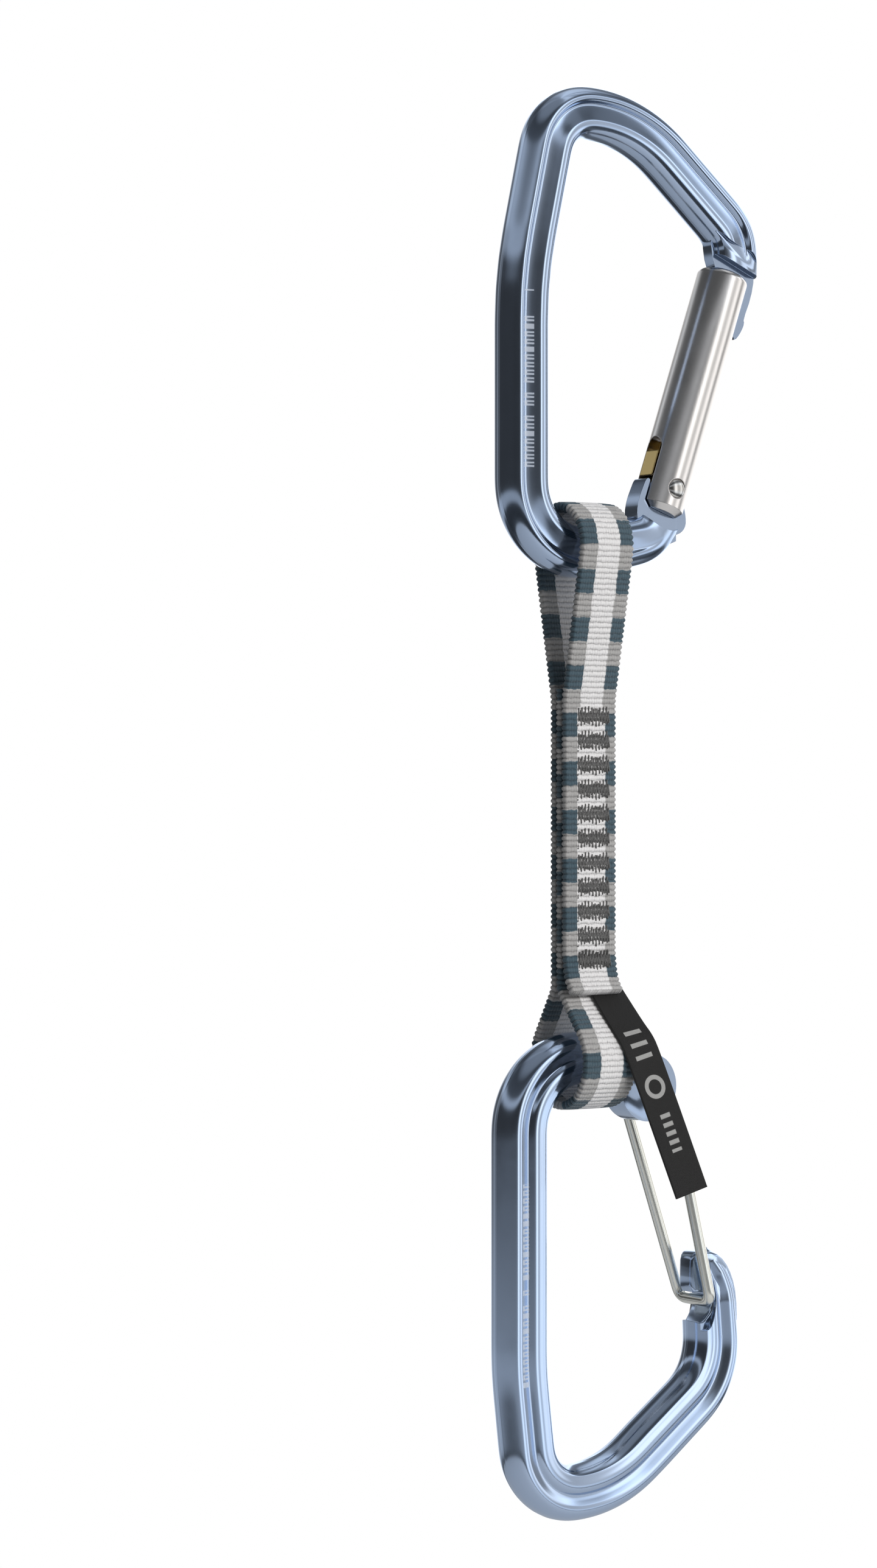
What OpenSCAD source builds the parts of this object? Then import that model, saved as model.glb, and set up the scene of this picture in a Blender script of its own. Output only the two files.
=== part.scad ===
// Climbing quickdraw: a straight-gate carabiner, a sewn polyester sling and a wire-gate
// carabiner, hanging from the top carabiner's basket.
// The carabiners lie in the XZ plane, spines towards -X and gates towards +X; +Z is up.
// The origin is the inner apex of the top basket, where the quickdraw hangs. Millimetres.

/* [Top carabiner] */
// Depth of the bar in the carabiner's plane
top_bar_w = 10.4; // [9.6:0.1:11]
// Thickness of the bar across the plane
top_bar_t = 8.2; // [7.6:0.1:8.6]
// Depth of the forged channel in each face of the bar
top_channel = 0.9; // [0.4:0.1:1.3]
// Half the thickness left at the milled nose
nose_flat = 3.3; // [3:0.1:3.6]

/* [Straight gate] */
// Diameter of the gate
gate_d = 10.5; // [10:0.1:11]
// Lean of the closed gate from the vertical
gate_lean = 19.4; // [18:0.2:20]
// Distance from the rivet to the top of the gate
gate_len = 47; // [46:0.25:47.5]
// Distance from the rivet to the bottom of the gate
gate_foot = 5; // [4.5:0.1:5.2]
// Thickness of the tang that the gate turns on
tang_t = 4.2; // [3.8:0.1:4.4]
// Diameter of the rivet's shank
rivet_d = 3; // [2.6:0.1:3.2]

/* [Wire-gate carabiner] */
// Depth of the bar at the spine
low_bar_w = 11; // [10.4:0.1:11.4]
// Depth of the bar at the rope basket
low_basket_w = 11.8; // [11:0.1:12.2]
// Thickness of the bar
low_bar_t = 8.4; // [7.8:0.1:8.8]
// Half the thickness of the milled hinge plate and of the nose hood
low_flat = 3; // [2.7:0.1:3.2]
// Diameter of the stainless wire
wire_d = 2.3; // [2:0.1:2.4]
// Half the distance between the two legs of the wire
wire_half = 5.1; // [5:0.1:5.4]

/* [Sling] */
// Width of the webbing
web_w = 12.6; // [11:0.1:13]
// Thickness of one layer of webbing
web_t = 1.75; // [1.5:0.05:1.75]
// Distance from one layer to the next in the sewn stack
web_pitch = 1.85; // [1.85:0.05:1.95]
// Height of the axis that the top loop hangs on
top_axis_z = -80.7; // [-81:0.1:-80.5]
// Height of the axis that the bottom loop holds
low_axis_z = -182.5; // [-183:0.1:-182]
// Height of the top of the stitching
sewn_top_z = -112; // [-114:0.5:-110]
// Height of the bottom of the stitching
sewn_low_z = -165; // [-166:0.5:-164]
// Number of bar tacks
tacks = 11; // [9:1:11]

/* [Label] */
// Width of the woven label
label_w = 7.8; // [7:0.1:8.5]
// Thickness of the woven label
label_t = 0.5; // [0.4:0.05:0.5]

/* [Hidden] */
$fn = 64;
blue = "#5f7299";
steel = "#9a928b";
brass = "#8a7432";
wire_grey = "#c9c8bd";
webbing_grey = "#c4bfba";
thread_grey = "#6f6b69";
black = "#23221f";

// ---- Top carabiner: corners of the bar's centre line as [x, z, bend radius], nose to hinge.
top_corners = [
    [37, -27, 0], [37.2, -16.2, 9], [11.8, 5.3, 31], [-7.6, 5.3, 9.4], [-15, -28, 80],
    [-15, -85, 13.5], [15.6, -78.6, 7], [19.2, -73, 0]
];
rivet_pos = [19.6, -68.7];
shoulder_r = 8.3;
rivet_gap = 0.05;
tang_r = 3.2;
slot_half = tang_t / 2 + 0.3;
gate_bore_r = 2.8;
gate_bore_top = 34;
nose_cut = [30, -19.6];
nose_cut_slope = 23;
key_half = 1.4;
key_slot_half = 1.75;
// Outline of the nose's key, which the gate closes on.
key_outline = [
    [30.8, -15], [31.1, -20.5], [32.3, -24], [34.8, -28.6], [36.6, -30.6], [35.9, -33.8],
    [36.9, -37.6], [38.6, -35.9], [39.5, -34.1], [39.3, -33.2], [41.2, -28.8], [42.1, -24.5],
    [41.4, -15]
];

// ---- Pusher and spring inside the straight gate: x across the gate, z from the rivet.
// Outline of the pusher's blade. The tang's horn lifts its slanted lower edge.
pusher_half = 1.95;
pusher_outline = [
    [-4.9, 1.3], [-2.6, 3.5], [0.8, 3.5], [0.8, 11.5], [-1.5, 11.5], [-1.5, 6.6], [-4.9, 6.6]
];
pusher_shelf = 10.5;
pusher_top = 13;
spring_wire = 0.6;
spring_turns = 9;

// ---- Wire-gate carabiner: the same kind of centre line, nose to hinge.
low_corners = [
    [31.2, -231, 0], [32.4, -247.5, 15], [6.4, -267.4, 26], [-12.6, -268.6, 10.5],
    [-15.5, -243, 60], [-15.5, -177.6, 14], [12.4, -185.4, 0]
];
hood_x = 25.3;
hood_top_z = -222;
hood_low_z = -230.3;
bar_seat = [28, -232];
wire_pivot = [16, -189];
hinge_lobe = [14, -188.3];
hinge_lobe_r = 6.9;
wire_gap = 0.05;
pin_tip = 0.4;
pin_end = 0.1;
leg_d = wire_d - 0.08;
// Each leg leaves its pin at its own angle, which springs the gate shut.
kick_front = [2.2, 0, -2.6];
kick_back = [-1.6, 0, -4];

// ---- Sling: the layers' middles are at front_y, 0 and back_y in the sewn stack.
loop_top_r = 7.0;
loop_low_r = 8.0;
front_y = -web_pitch;
back_y = web_pitch;
leave_top_z = sewn_top_z + 1;
leave_low_z = sewn_low_z - 3.5;
end_top_z = -109;
// The strap's fused front end, as [y, z], curling away from the stack.
flap_line = [[-4.5, -169], [-3.2, -167.3], [-2.4, -165.2], [front_y, -161.5]];
tack_h = 2.7;
tack_w = 10;
tack_t = 0.35;
// Label: [x of its middle, y, z] and its lean, down its length.
label_route = [
    [3, -1.36, -166.2], [3.3, -1.45, -167.3], [5, -8.1, -175.86], [5.8, -9.6, -178],
    [6.8, -10.35, -180.6], [10.8, -12.9, -194], [15, -15.7, -208.5]
];
label_lean = [0, 2, 9, 12, 14, 15, 15];

// ================= Paths and sweeps =================

function unit(v) = v / norm(v);
function angle_at(a, b, c) = acos(max(-1, min(1, unit(b - a) * unit(c - b))));

// The points of one rounded corner at b, between a and c, in equal steps of arc.
function corner(a, b, c, r, step = 9) =
    let (
        turn = angle_at(a, b, c),
        back = unit(a - b),
        ahead = unit(c - b),
        reach = r * tan(turn / 2),
        centre = b + unit(back + ahead) * r / cos(turn / 2),
        from = b + back * reach - centre,
        side = unit(b + ahead * reach - centre - from * cos(turn)),
        n = max(2, ceil(turn / step))
    )
    [for (i = [0:n]) centre + from * cos(turn * i / n) + side * r * sin(turn * i / n)];

// A line through corners [point, radius], with each corner rounded.
function rounded(points, radii, step = 9) = [
    for (i = [0:len(points) - 1])
        each (radii[i] <= 0 ? [points[i]]
            : corner(points[i - 1], points[i], points[i + 1], radii[i], step))
];

// Extra points so that no stretch of the line is longer than gap.
function filled(p, gap) = concat(
    [for (i = [0:len(p) - 2])
        let (n = ceil(norm(p[i + 1] - p[i]) / gap))
        for (k = [0:n - 1]) p[i] + (p[i + 1] - p[i]) * k / n],
    [p[len(p) - 1]]
);

function tangent(p, i) = unit(p[min(i + 1, len(p) - 1)] - p[max(i - 1, 0)]);
function run_length(p, i) = i == 0 ? 0 : run_length(p, i - 1) + norm(p[i] - p[i - 1]);

// Side directions carried along the line without twist.
function carried(p, first) = [
    for (
        i = 0, n = first;
        i < len(p);
        i = i + 1, n = i < len(p) ? unit(n - (n * tangent(p, i)) * tangent(p, i)) : n
    ) n
];

// One closed skin through rings that all have the same number of points.
module skin(rings) {
    m = len(rings[0]);
    last = len(rings) - 1;
    polyhedron(
        points = [for (r = rings) each r],
        faces = concat(
            [for (i = [0:last - 1], j = [0:m - 1])
                each [[i * m + j, (i + 1) * m + j, (i + 1) * m + (j + 1) % m],
                      [i * m + j, (i + 1) * m + (j + 1) % m, i * m + (j + 1) % m]]],
            [[for (j = [0:m - 1]) j], [for (j = [m - 1:-1:0]) last * m + j]]
        )
    );
}

// Section of a forged bar: a rounded block with a shallow channel in each face.
function bar_section(w, t, channel, n = 20) = [
    for (i = [0:n - 1])
        let (
            a = 360 * i / n,
            u = w / 2 * sign(cos(a)) * pow(abs(cos(a)), 0.75),
            dip = channel * max(0, 1 - pow(u / (0.32 * w), 2)),
            v = sign(sin(a)) * (t / 2 * pow(abs(sin(a)), 0.75) - (abs(sin(a)) > 0.5 ? dip : 0))
        )
        [u, v]
];

// A bar along corners [x, z, radius], with width and channel given at each ring.
module forged_bar(corners, widths, t, channel) {
    line = filled(
        rounded([for (c = corners) [c[0], 0, c[1]]], [for (c = corners) c[2]]), 9);
    total = run_length(line, len(line) - 1);
    skin([
        for (i = [0:len(line) - 1])
            let (
                along = run_length(line, i) / total,
                ahead = tangent(line, i),
                out = [-ahead[2], 0, ahead[0]],
                w = lookup(along, widths),
                fade = lookup(along, [[0, 0], [0.12, 1], [0.86, 1], [1, 0]])
            )
            [for (s = bar_section(w, t, channel * fade)) line[i] + out * s[0] - [0, s[1], 0]]
    ]);
}

// A round rod along a line.
module rod(line, d, sides = 10) {
    first = carried(line, [0.13, 0.99, 0.05]);
    skin([
        for (i = [0:len(line) - 1])
            let (
                ahead = tangent(line, i),
                n = unit(first[i] - (first[i] * ahead) * ahead),
                b = cross(ahead, n)
            )
            [for (j = [0:sides - 1])
                line[i] + d / 2 * (n * cos(360 * j / sides) + b * sin(360 * j / sides))]
    ]);
}

// A plate in the XZ plane, from an outline of [x, z], of half thickness h.
module plate(h) {
    rotate([90, 0, 0])
        linear_extrude(height = 2 * h, center = true)
            children();
}

// A cylinder across the plane, at [x, z].
module across(at, r, h) {
    translate([at[0], 0, at[1]])
        rotate([90, 0, 0])
            cylinder(r = r, h = h, center = true);
}

// ================= Top carabiner =================

module gate_frame() {
    translate([rivet_pos[0], 0, rivet_pos[1]])
        rotate([0, gate_lean, 0])
            children();
}

module nose_milling() {
    // Everything below the sloping cut, then the two flats beside the nose.
    translate([nose_cut[0], 0, nose_cut[1]])
        rotate([0, nose_cut_slope, 0]) {
            translate([-10, -10, -14])
                cube([34, 20, 14]);
            for (side = [-1, 1])
                translate([-8, side > 0 ? nose_flat : -nose_flat - 5, -1])
                    cube([30, 5, 5.4]);
        }
}

module tang() {
    plate(tang_t / 2) {
        hull() {
            translate(rivet_pos)
                circle(r = tang_r);
            translate([17, -76.6])
                circle(r = 4.2);
        }
        // The horn beside the gate's slot, which stops the closed gate.
        polygon([
            [13, -79], [11.4, -74], [12.2, -70.9], [13.9, -67], [14.9, -66.5],
            [15.5, -68], [16, -73], [22.7, -69.5], [24, -73.5], [24, -76.4], [21.5, -78]
        ]);
    }
}

module top_carabiner_body() {
    color(blue)
        difference() {
            union() {
                difference() {
                    forged_bar(
                        top_corners,
                        [[0, 10.6], [0.15, top_bar_w], [0.85, top_bar_w], [1, 9.4]],
                        top_bar_t, top_channel
                    );
                    nose_milling();
                    across(rivet_pos, shoulder_r, 20);
                }
                plate(key_half)
                    polygon(key_outline);
                tang();
            }
            across(rivet_pos, rivet_d / 2 + rivet_gap, 20);
        }
}

module top_gate() {
    edge = 1.3;
    bevel = 1.2;
    r = gate_d / 2;
    color(steel)
        gate_frame()
            difference() {
                rotate_extrude()
                    polygon(concat(
                        [[0, -gate_foot], [r - bevel, -gate_foot], [r, -gate_foot + bevel]],
                        [for (a = [0:15:90])
                            [r - edge + edge * cos(a), gate_len - edge + edge * sin(a)]],
                        [[0, gate_len]]
                    ));
                // Slot for the tang, open at the foot.
                translate([-r - 1, -slot_half, -gate_foot - 1])
                    cube([gate_d + 2, 2 * slot_half, gate_foot + 1 + tang_r + 1]);
                // The slot runs on up the inner side, to a round end.
                translate([-r - 1, -slot_half, -gate_foot - 1])
                    cube([r + 1, 2 * slot_half, gate_foot + 1 + 7.2]);
                translate([-r - 1, 0, 7.2])
                    rotate([0, 90, 0])
                        cylinder(r = slot_half, h = r + 1);
                // Bore for the pusher and its spring.
                translate([0, 0, tang_r])
                    cylinder(r = gate_bore_r, h = gate_bore_top - tang_r);
                // Slot for the nose's key, open at the top and the outer side.
                translate([-3.9, -key_slot_half, 36])
                    cube([r + 5, 2 * key_slot_half, 12]);
                translate([0.4, -key_slot_half, 31.5])
                    cube([r, 2 * key_slot_half, 5]);
                // Rivet hole, with a pocket for each head.
                rotate([90, 0, 0])
                    cylinder(r = rivet_d / 2 + 0.02, h = gate_d + 2, center = true);
                for (side = [-1, 1])
                    translate([0, side * (r - 0.5), 0])
                        rotate([-90 * side, 0, 0])
                            cylinder(r = rivet_d / 2 + 0.5, h = 2);
            }
}

module top_gate_rivet() {
    head_r = rivet_d / 2 + 0.4;
    flat_y = gate_d / 2 - 0.45;
    rise = 0.75;
    dome_r = (head_r * head_r + rise * rise) / (2 * rise);
    color(steel)
        gate_frame()
            rotate([90, 0, 0])
                rotate_extrude()
                    polygon(concat(
                        [for (a = [0:6:90])
                            let (x = head_r * sin(a))
                            [x, -flat_y - rise + dome_r - sqrt(dome_r * dome_r - x * x)]],
                        [[rivet_d / 2, -flat_y], [rivet_d / 2, flat_y]],
                        [for (a = [90:-6:0])
                            let (x = head_r * sin(a))
                            [x, flat_y + rise - dome_r + sqrt(dome_r * dome_r - x * x)]]
                    ));
}

module top_gate_pusher() {
    color(brass)
        gate_frame()
            union() {
                plate(pusher_half)
                    polygon(pusher_outline);
                translate([0, 0, pusher_shelf])
                    cylinder(r = gate_bore_r - 0.3, h = pusher_top - pusher_shelf);
            }
}

module top_gate_spring() {
    coil_r = gate_bore_r - 0.3 - spring_wire / 2;
    low = pusher_top + spring_wire / 2 + 0.02;
    rise = gate_bore_top - pusher_top - spring_wire - 0.04;
    per_turn = 14;
    color(steel)
        gate_frame()
            rod([
                for (i = [0:spring_turns * per_turn])
                    let (a = 360 * i / per_turn)
                    [coil_r * cos(a), coil_r * sin(a), low + rise * i / (spring_turns * per_turn)]
            ], spring_wire, 6);
}

// ================= Sling =================

// Where a line from a flat layer meets a loop's circle: the layer leaves the stack at
// [y, z] and touches a circle of radius r about [0, axis_z].
function touch(y, z, axis_z, r) =
    let (
        d = [y, z] - [0, axis_z],
        far = norm(d),
        at = atan2(d[1], d[0]),
        open = acos(r / far)
    )
    [at - open, at + open];

// The middle line of the strap as [y, z]: front end, top loop, back, bottom loop, inner end.
function strap_line() =
    let (
        r_top = loop_top_r + web_t / 2,
        r_low = loop_low_r + web_t / 2,
        tf = touch(front_y, leave_top_z, top_axis_z, r_top)[0],
        tb = touch(back_y, leave_top_z, top_axis_z, r_top)[1],
        lb = touch(back_y, leave_low_z, low_axis_z, r_low)[0],
        lf = touch(0, leave_low_z, low_axis_z, r_low)[1],
        n = 14
    )
    concat(
        flap_line,
        [[front_y, leave_top_z]],
        [for (i = [0:n]) let (a = tf - (tf - tb + 360) * i / n)
            [0, top_axis_z] + r_top * [cos(a), sin(a)]],
        [[back_y, leave_top_z], [back_y, leave_low_z]],
        [for (i = [0:n]) let (a = lb - (lb - lf + 360) * i / n)
            [0, low_axis_z] + r_low * [cos(a), sin(a)]],
        [[0, leave_low_z], [0, end_top_z]]
    );

// A strip of constant thickness along a line of [y, z].
module strip_2d(line, t) {
    n = len(line);
    normals = [
        for (i = [0:n - 1])
            let (
                a = unit(line[min(i + 1, n - 1)] - line[min(i, n - 2)]),
                b = unit(line[max(i, 1)] - line[max(i - 1, 0)]),
                m = unit(a + b)
            )
            [-m[1], m[0]] / max(0.6, m * a)
    ];
    polygon(concat(
        [for (i = [0:n - 1]) line[i] + normals[i] * t / 2],
        [for (i = [n - 1:-1:0]) line[i] - normals[i] * t / 2]
    ));
}

module sling_webbing() {
    color(webbing_grey)
        rotate([90, 0, 90])
            linear_extrude(height = web_w, center = true)
                strip_2d(strap_line(), web_t);
}

module bar_tacks() {
    face = web_pitch + web_t / 2;
    pitch = (sewn_top_z - sewn_low_z) / tacks;
    color(thread_grey)
        for (i = [0:tacks - 1])
            for (side = [-1, 1])
                let (z = sewn_top_z - pitch * (i + 0.5))
                if (side > 0 || z > -161)
                    translate([0, side * (face + tack_t / 2), z])
                        cube([tack_w, tack_t, tack_h], center = true);
}

module sling_label() {
    color(black)
        skin([
            for (i = [0:len(label_route) - 1])
                let (
                    side = [cos(label_lean[i]), 0, sin(label_lean[i])] * label_w / 2,
                    n = unit(cross(side, tangent(label_route, i))) * label_t / 2
                )
                [
                    label_route[i] - side - n, label_route[i] - side + n,
                    label_route[i] + side + n, label_route[i] + side - n
                ]
        ]);
}

// ================= Wire-gate carabiner =================

module hinge_plate() {
    plate(low_flat)
        hull() {
            translate(hinge_lobe)
                circle(r = hinge_lobe_r);
            translate([9.5, -184.6])
                circle(r = 4.9);
        }
}

module nose_hood() {
    plate(low_flat)
        polygon([
            [hood_x, hood_low_z], [hood_x, -224], [hood_x + 1.3, hood_top_z], [30.6, -222.3],
            [33.2, -224.2], [35.1, -227.4], [36.2, -231.5], [36.4, -238], [31.5, -241],
            [26.8, -240], [26.9, -236.8], [28.6, -234.9], [29.6, -233.4], [29.6, hood_low_z]
        ]);
}

module bottom_carabiner_body() {
    color(blue)
        difference() {
            union() {
                difference() {
                    forged_bar(
                        low_corners,
                        [[0, 11], [0.1, 11.4], [0.22, low_basket_w], [0.4, low_bar_w],
                         [0.85, low_bar_w], [1, 9.6]],
                        low_bar_t, 0.8
                    );
                    // Flats beside the wire's seat and the hinge plate.
                    for (side = [-1, 1]) {
                        translate([20, side > 0 ? low_flat : -low_flat - 5, -236.5])
                            cube([11.4, 5, 16]);
                        translate([9, side > 0 ? low_flat : -low_flat - 5, -200])
                            cube([20, 5, 30]);
                    }
                    // Everything above and inside the seat.
                    translate([20, -10, -236])
                        cube([9.6, 20, 20]);
                    across([27.2, -234.6], 1.9, 20);
                    translate([20, -10, -230.5])
                        cube([30, 20, 12]);
                }
                hinge_plate();
                nose_hood();
            }
            across(wire_pivot, wire_d / 2 + wire_gap, 20);
        }
}

// The wire's line from one pin, down one leg, across the seat and back up.
function wire_line() =
    let (
        pin = [wire_pivot[0], 0, wire_pivot[1]],
        seat = [bar_seat[0], 0, bar_seat[1]],
        front = [0, -wire_half, 0],
        back = [0, wire_half, 0]
    )
    rounded(
        [pin + front, pin + front + kick_front, seat + front,
         seat + back, pin + back + kick_back, pin + back],
        [0, 3, 2.2, 2.2, 3, 0], 15);

module wire_gate() {
    color(wire_grey)
        union() {
            rod(filled(wire_line(), 12), leg_d);
            for (side = [-1, 1])
                translate([wire_pivot[0], side * pin_tip, wire_pivot[1]])
                    rotate([-90 * side, 0, 0])
                        cylinder(d = wire_d, h = wire_half + wire_d / 2 + pin_end - pin_tip);
        }
}

top_carabiner_body();
top_gate();
top_gate_rivet();
top_gate_pusher();
top_gate_spring();
sling_webbing();
bar_tacks();
sling_label();
bottom_carabiner_body();
wire_gate();
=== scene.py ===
"""Looks of the climbing quickdraw: forged bars, milled ends, woven sling and thread.

Lengths below are in millimetres in the part's frame, and MM turns them into metres.
"""

import math

import bpy
import numpy as np
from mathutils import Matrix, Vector


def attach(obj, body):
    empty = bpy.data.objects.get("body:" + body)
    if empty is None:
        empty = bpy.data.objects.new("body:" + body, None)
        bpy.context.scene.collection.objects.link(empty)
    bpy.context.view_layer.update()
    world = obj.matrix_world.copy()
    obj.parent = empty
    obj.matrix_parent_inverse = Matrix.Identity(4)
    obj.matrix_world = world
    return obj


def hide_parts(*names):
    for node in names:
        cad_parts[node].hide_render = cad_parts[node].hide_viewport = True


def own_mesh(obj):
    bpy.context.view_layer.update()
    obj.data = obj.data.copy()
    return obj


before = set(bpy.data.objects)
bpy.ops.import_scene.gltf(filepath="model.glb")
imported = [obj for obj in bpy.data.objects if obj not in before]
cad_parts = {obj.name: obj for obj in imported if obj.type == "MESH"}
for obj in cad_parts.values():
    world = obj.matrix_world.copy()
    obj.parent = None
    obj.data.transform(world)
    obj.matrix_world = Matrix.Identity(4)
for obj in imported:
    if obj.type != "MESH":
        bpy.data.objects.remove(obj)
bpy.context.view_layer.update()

MM = 0.001
FINE = 0.5  # how coarse the dense meshes are


# ================= Meshes =================


def add_mesh(name, points, faces, material, uv=None, sharp=35):
    """A mesh object from points in mm. Edges bent by more than sharp degrees stay crisp."""
    mesh = bpy.data.meshes.new(name)
    mesh.from_pydata((np.asarray(points, float) * MM).tolist(), [], faces)
    mesh.update()
    if uv is not None:
        layer = mesh.uv_layers.new(name="UVMap")
        loops = np.zeros(len(mesh.loops), np.int32)
        mesh.loops.foreach_get("vertex_index", loops)
        layer.data.foreach_set("uv", np.asarray(uv, np.float32)[loops].ravel())
    mesh.polygons.foreach_set("use_smooth", [True] * len(mesh.polygons))
    if sharp:
        mesh.set_sharp_from_angle(angle=math.radians(sharp))
    obj = bpy.data.objects.new(name, mesh)
    bpy.context.scene.collection.objects.link(obj)
    if material:
        mesh.materials.append(material)
    return obj


def skin(rings):
    """Points and faces of the closed skin through rings, an array of [ring, point, xyz]."""
    count, around = rings.shape[:2]
    k = np.arange(count - 1)[:, None] * around
    j = np.arange(around)[None, :]
    ahead = (j + 1) % around
    quads = np.stack([k + j, k + ahead, k + around + ahead, k + around + j], -1)
    faces = quads.reshape(-1, 4).tolist()
    faces.append(list(range(around))[::-1])
    faces.append([(count - 1) * around + i for i in range(around)])
    return rings.reshape(-1, 3), faces


def prism(name, outline, low, high):
    """A solid with an outline of [x, z], from y = low to y = high."""
    outline = np.asarray(outline, float)
    x, z = outline.T
    if np.sum(x * np.roll(z, -1) - np.roll(x, -1) * z) < 0:
        outline = outline[::-1]
    rings = np.array(
        [[(p[0], y, p[1]) for p in outline] for y in (high, low)], float
    )
    return add_mesh(name, *skin(rings), None)


def eased(name, outline, half, ease):
    """A prism with its edges rounded by ease. half gives its half thickness at each x."""
    outline = np.asarray(outline, float)
    x, z = outline.T
    if np.sum(x * np.roll(z, -1) - np.roll(x, -1) * z) < 0:
        outline = outline[::-1]
    ahead = np.roll(outline, -1, axis=0) - np.roll(outline, 1, axis=0)
    ahead /= np.linalg.norm(ahead, axis=1)[:, None]
    inward = np.stack([-ahead[:, 1], ahead[:, 0]], -1)
    turn = np.linspace(0, math.pi / 2, 6)
    edge = [(ease * (1 - math.cos(t)), ease * (1 - math.sin(t))) for t in turn]
    rings = []
    for face, (drop, inset) in [(1, e) for e in edge] + [(-1, e) for e in edge[::-1]]:
        flat = outline + inward * inset
        y = face * (np.interp(flat[:, 0], *zip(*half, strict=True)) - drop)
        rings.append(np.stack([flat[:, 0], y, flat[:, 1]], -1))
    return add_mesh(name, *skin(np.array(rings)), None)


def cylinder(name, at, radius, low, high, sides=96):
    """A cylinder along Y at [x, z]."""
    turn = np.linspace(0, 2 * math.pi, sides, endpoint=False)
    return prism(
        name,
        np.stack([at[0] + radius * np.cos(turn), at[1] + radius * np.sin(turn)], -1),
        low,
        high,
    )


def boolean(obj, operation, *others):
    """Cuts, joins or keeps what obj shares with each of the others, which are used up."""
    for other in others:
        step = obj.modifiers.new("boolean", "BOOLEAN")
        step.operation = operation
        step.solver = "MANIFOLD"
        step.object = other
        bpy.context.view_layer.update()
        graph = bpy.context.evaluated_depsgraph_get()
        result = bpy.data.meshes.new_from_object(obj.evaluated_get(graph))
        obj.modifiers.clear()
        obj.data = result
        bpy.data.objects.remove(other)
    return obj


def crisp(obj, material, sharp=32):
    """Smooth shading that keeps milled edges, and one material all over."""
    obj.data.polygons.foreach_set("use_smooth", [True] * len(obj.data.polygons))
    obj.data.set_sharp_from_angle(angle=math.radians(sharp))
    obj.data.materials.clear()
    obj.data.materials.append(material)
    return obj


def placed(obj, body, slot, *nodes):
    """obj moves with a CAD body and stands for CAD nodes. slot is not used."""
    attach(obj, body)
    if nodes:
        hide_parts(*nodes)
    return obj


# ================= Lines =================


def unit(v):
    return v / np.linalg.norm(v)


def rounded(corners, closed=False, step=3.0):
    """A line through corners [x, z, radius], each corner turned into an arc."""
    corners = np.asarray(corners, float)
    points, n = [], len(corners)
    for i, (x, z, radius) in enumerate(corners):
        b = np.array([x, z])
        if radius <= 0 or (not closed and i in (0, n - 1)):
            points.append(b)
            continue
        a, c = corners[i - 1][:2], corners[(i + 1) % n][:2]
        back, on = unit(a - b), unit(c - b)
        turn = math.acos(np.clip(-back @ on, -1, 1))
        centre = b + unit(back + on) * radius / math.cos(turn / 2)
        start = b + back * radius * math.tan(turn / 2) - centre
        side = unit(b + on * radius * math.tan(turn / 2) - centre - start * math.cos(turn))
        for k in np.linspace(0, turn, max(3, int(math.degrees(turn) / step))):
            points.append(centre + start * math.cos(k) + side * radius * math.sin(k))
    return np.array(points)


def spaced(line, gap, soften=0.0):
    """The line with points gap apart. soften rounds its changes of bend, in mm."""
    line = np.asarray(line, float)
    run = np.r_[0, np.cumsum(np.linalg.norm(np.diff(line, axis=0), axis=1))]
    count = max(8, int(run[-1] / gap))
    at = np.linspace(0, run[-1], count)
    out = np.stack([np.interp(at, run, c) for c in line.T], -1)
    if soften:
        reach = int(3 * soften / gap)
        weight = np.exp(-0.5 * (np.arange(-reach, reach + 1) * gap / soften) ** 2)
        head = 2 * out[0] - out[reach:0:-1]
        tail = 2 * out[-1] - out[-2 : -reach - 2 : -1]
        padded = np.concatenate([head, out, tail])
        out = np.stack(
            [np.convolve(c, weight / weight.sum(), "valid") for c in padded.T], -1
        )
    return out


def tangents(line):
    ahead = np.gradient(line, axis=0)
    return ahead / np.linalg.norm(ahead, axis=1)[:, None]


def softened(points, rounds=3, closed=True):
    """Corner cutting: turns a coarse outline into a smooth one."""
    points = np.asarray(points, float)
    for _ in range(rounds):
        if closed:
            after = np.roll(points, -1, axis=0)
            pairs = (points * 0.75 + after * 0.25, points * 0.25 + after * 0.75)
            points = np.stack(pairs, 1).reshape(-1, points.shape[1])
        else:
            a, b = points[:-1], points[1:]
            middle = np.stack([a * 0.75 + b * 0.25, a * 0.25 + b * 0.75], 1)
            points = np.concatenate(
                [points[:1], middle.reshape(-1, points.shape[1]), points[-1:]]
            )
    return points


def tube(name, line, diameter, material, sides=24):
    """A round wire along a line of [x, y, z], with its side directions carried on."""
    line = np.asarray(line, float)
    ahead = tangents(line)
    side = unit(np.cross(ahead[0], [0.31, 0.17, 0.93]))
    turn = np.linspace(0, 2 * math.pi, sides, endpoint=False)
    rings = []
    for p, t in zip(line, ahead, strict=True):
        side = unit(side - t * (side @ t))
        up = np.cross(t, side)
        ring = np.outer(np.cos(turn), side) + np.outer(np.sin(turn), up)
        rings.append(p + ring * diameter / 2)
    points, faces = skin(np.array(rings)[:, ::-1])
    return add_mesh(name, points, faces, material, sharp=50)


# ================= Materials =================


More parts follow.
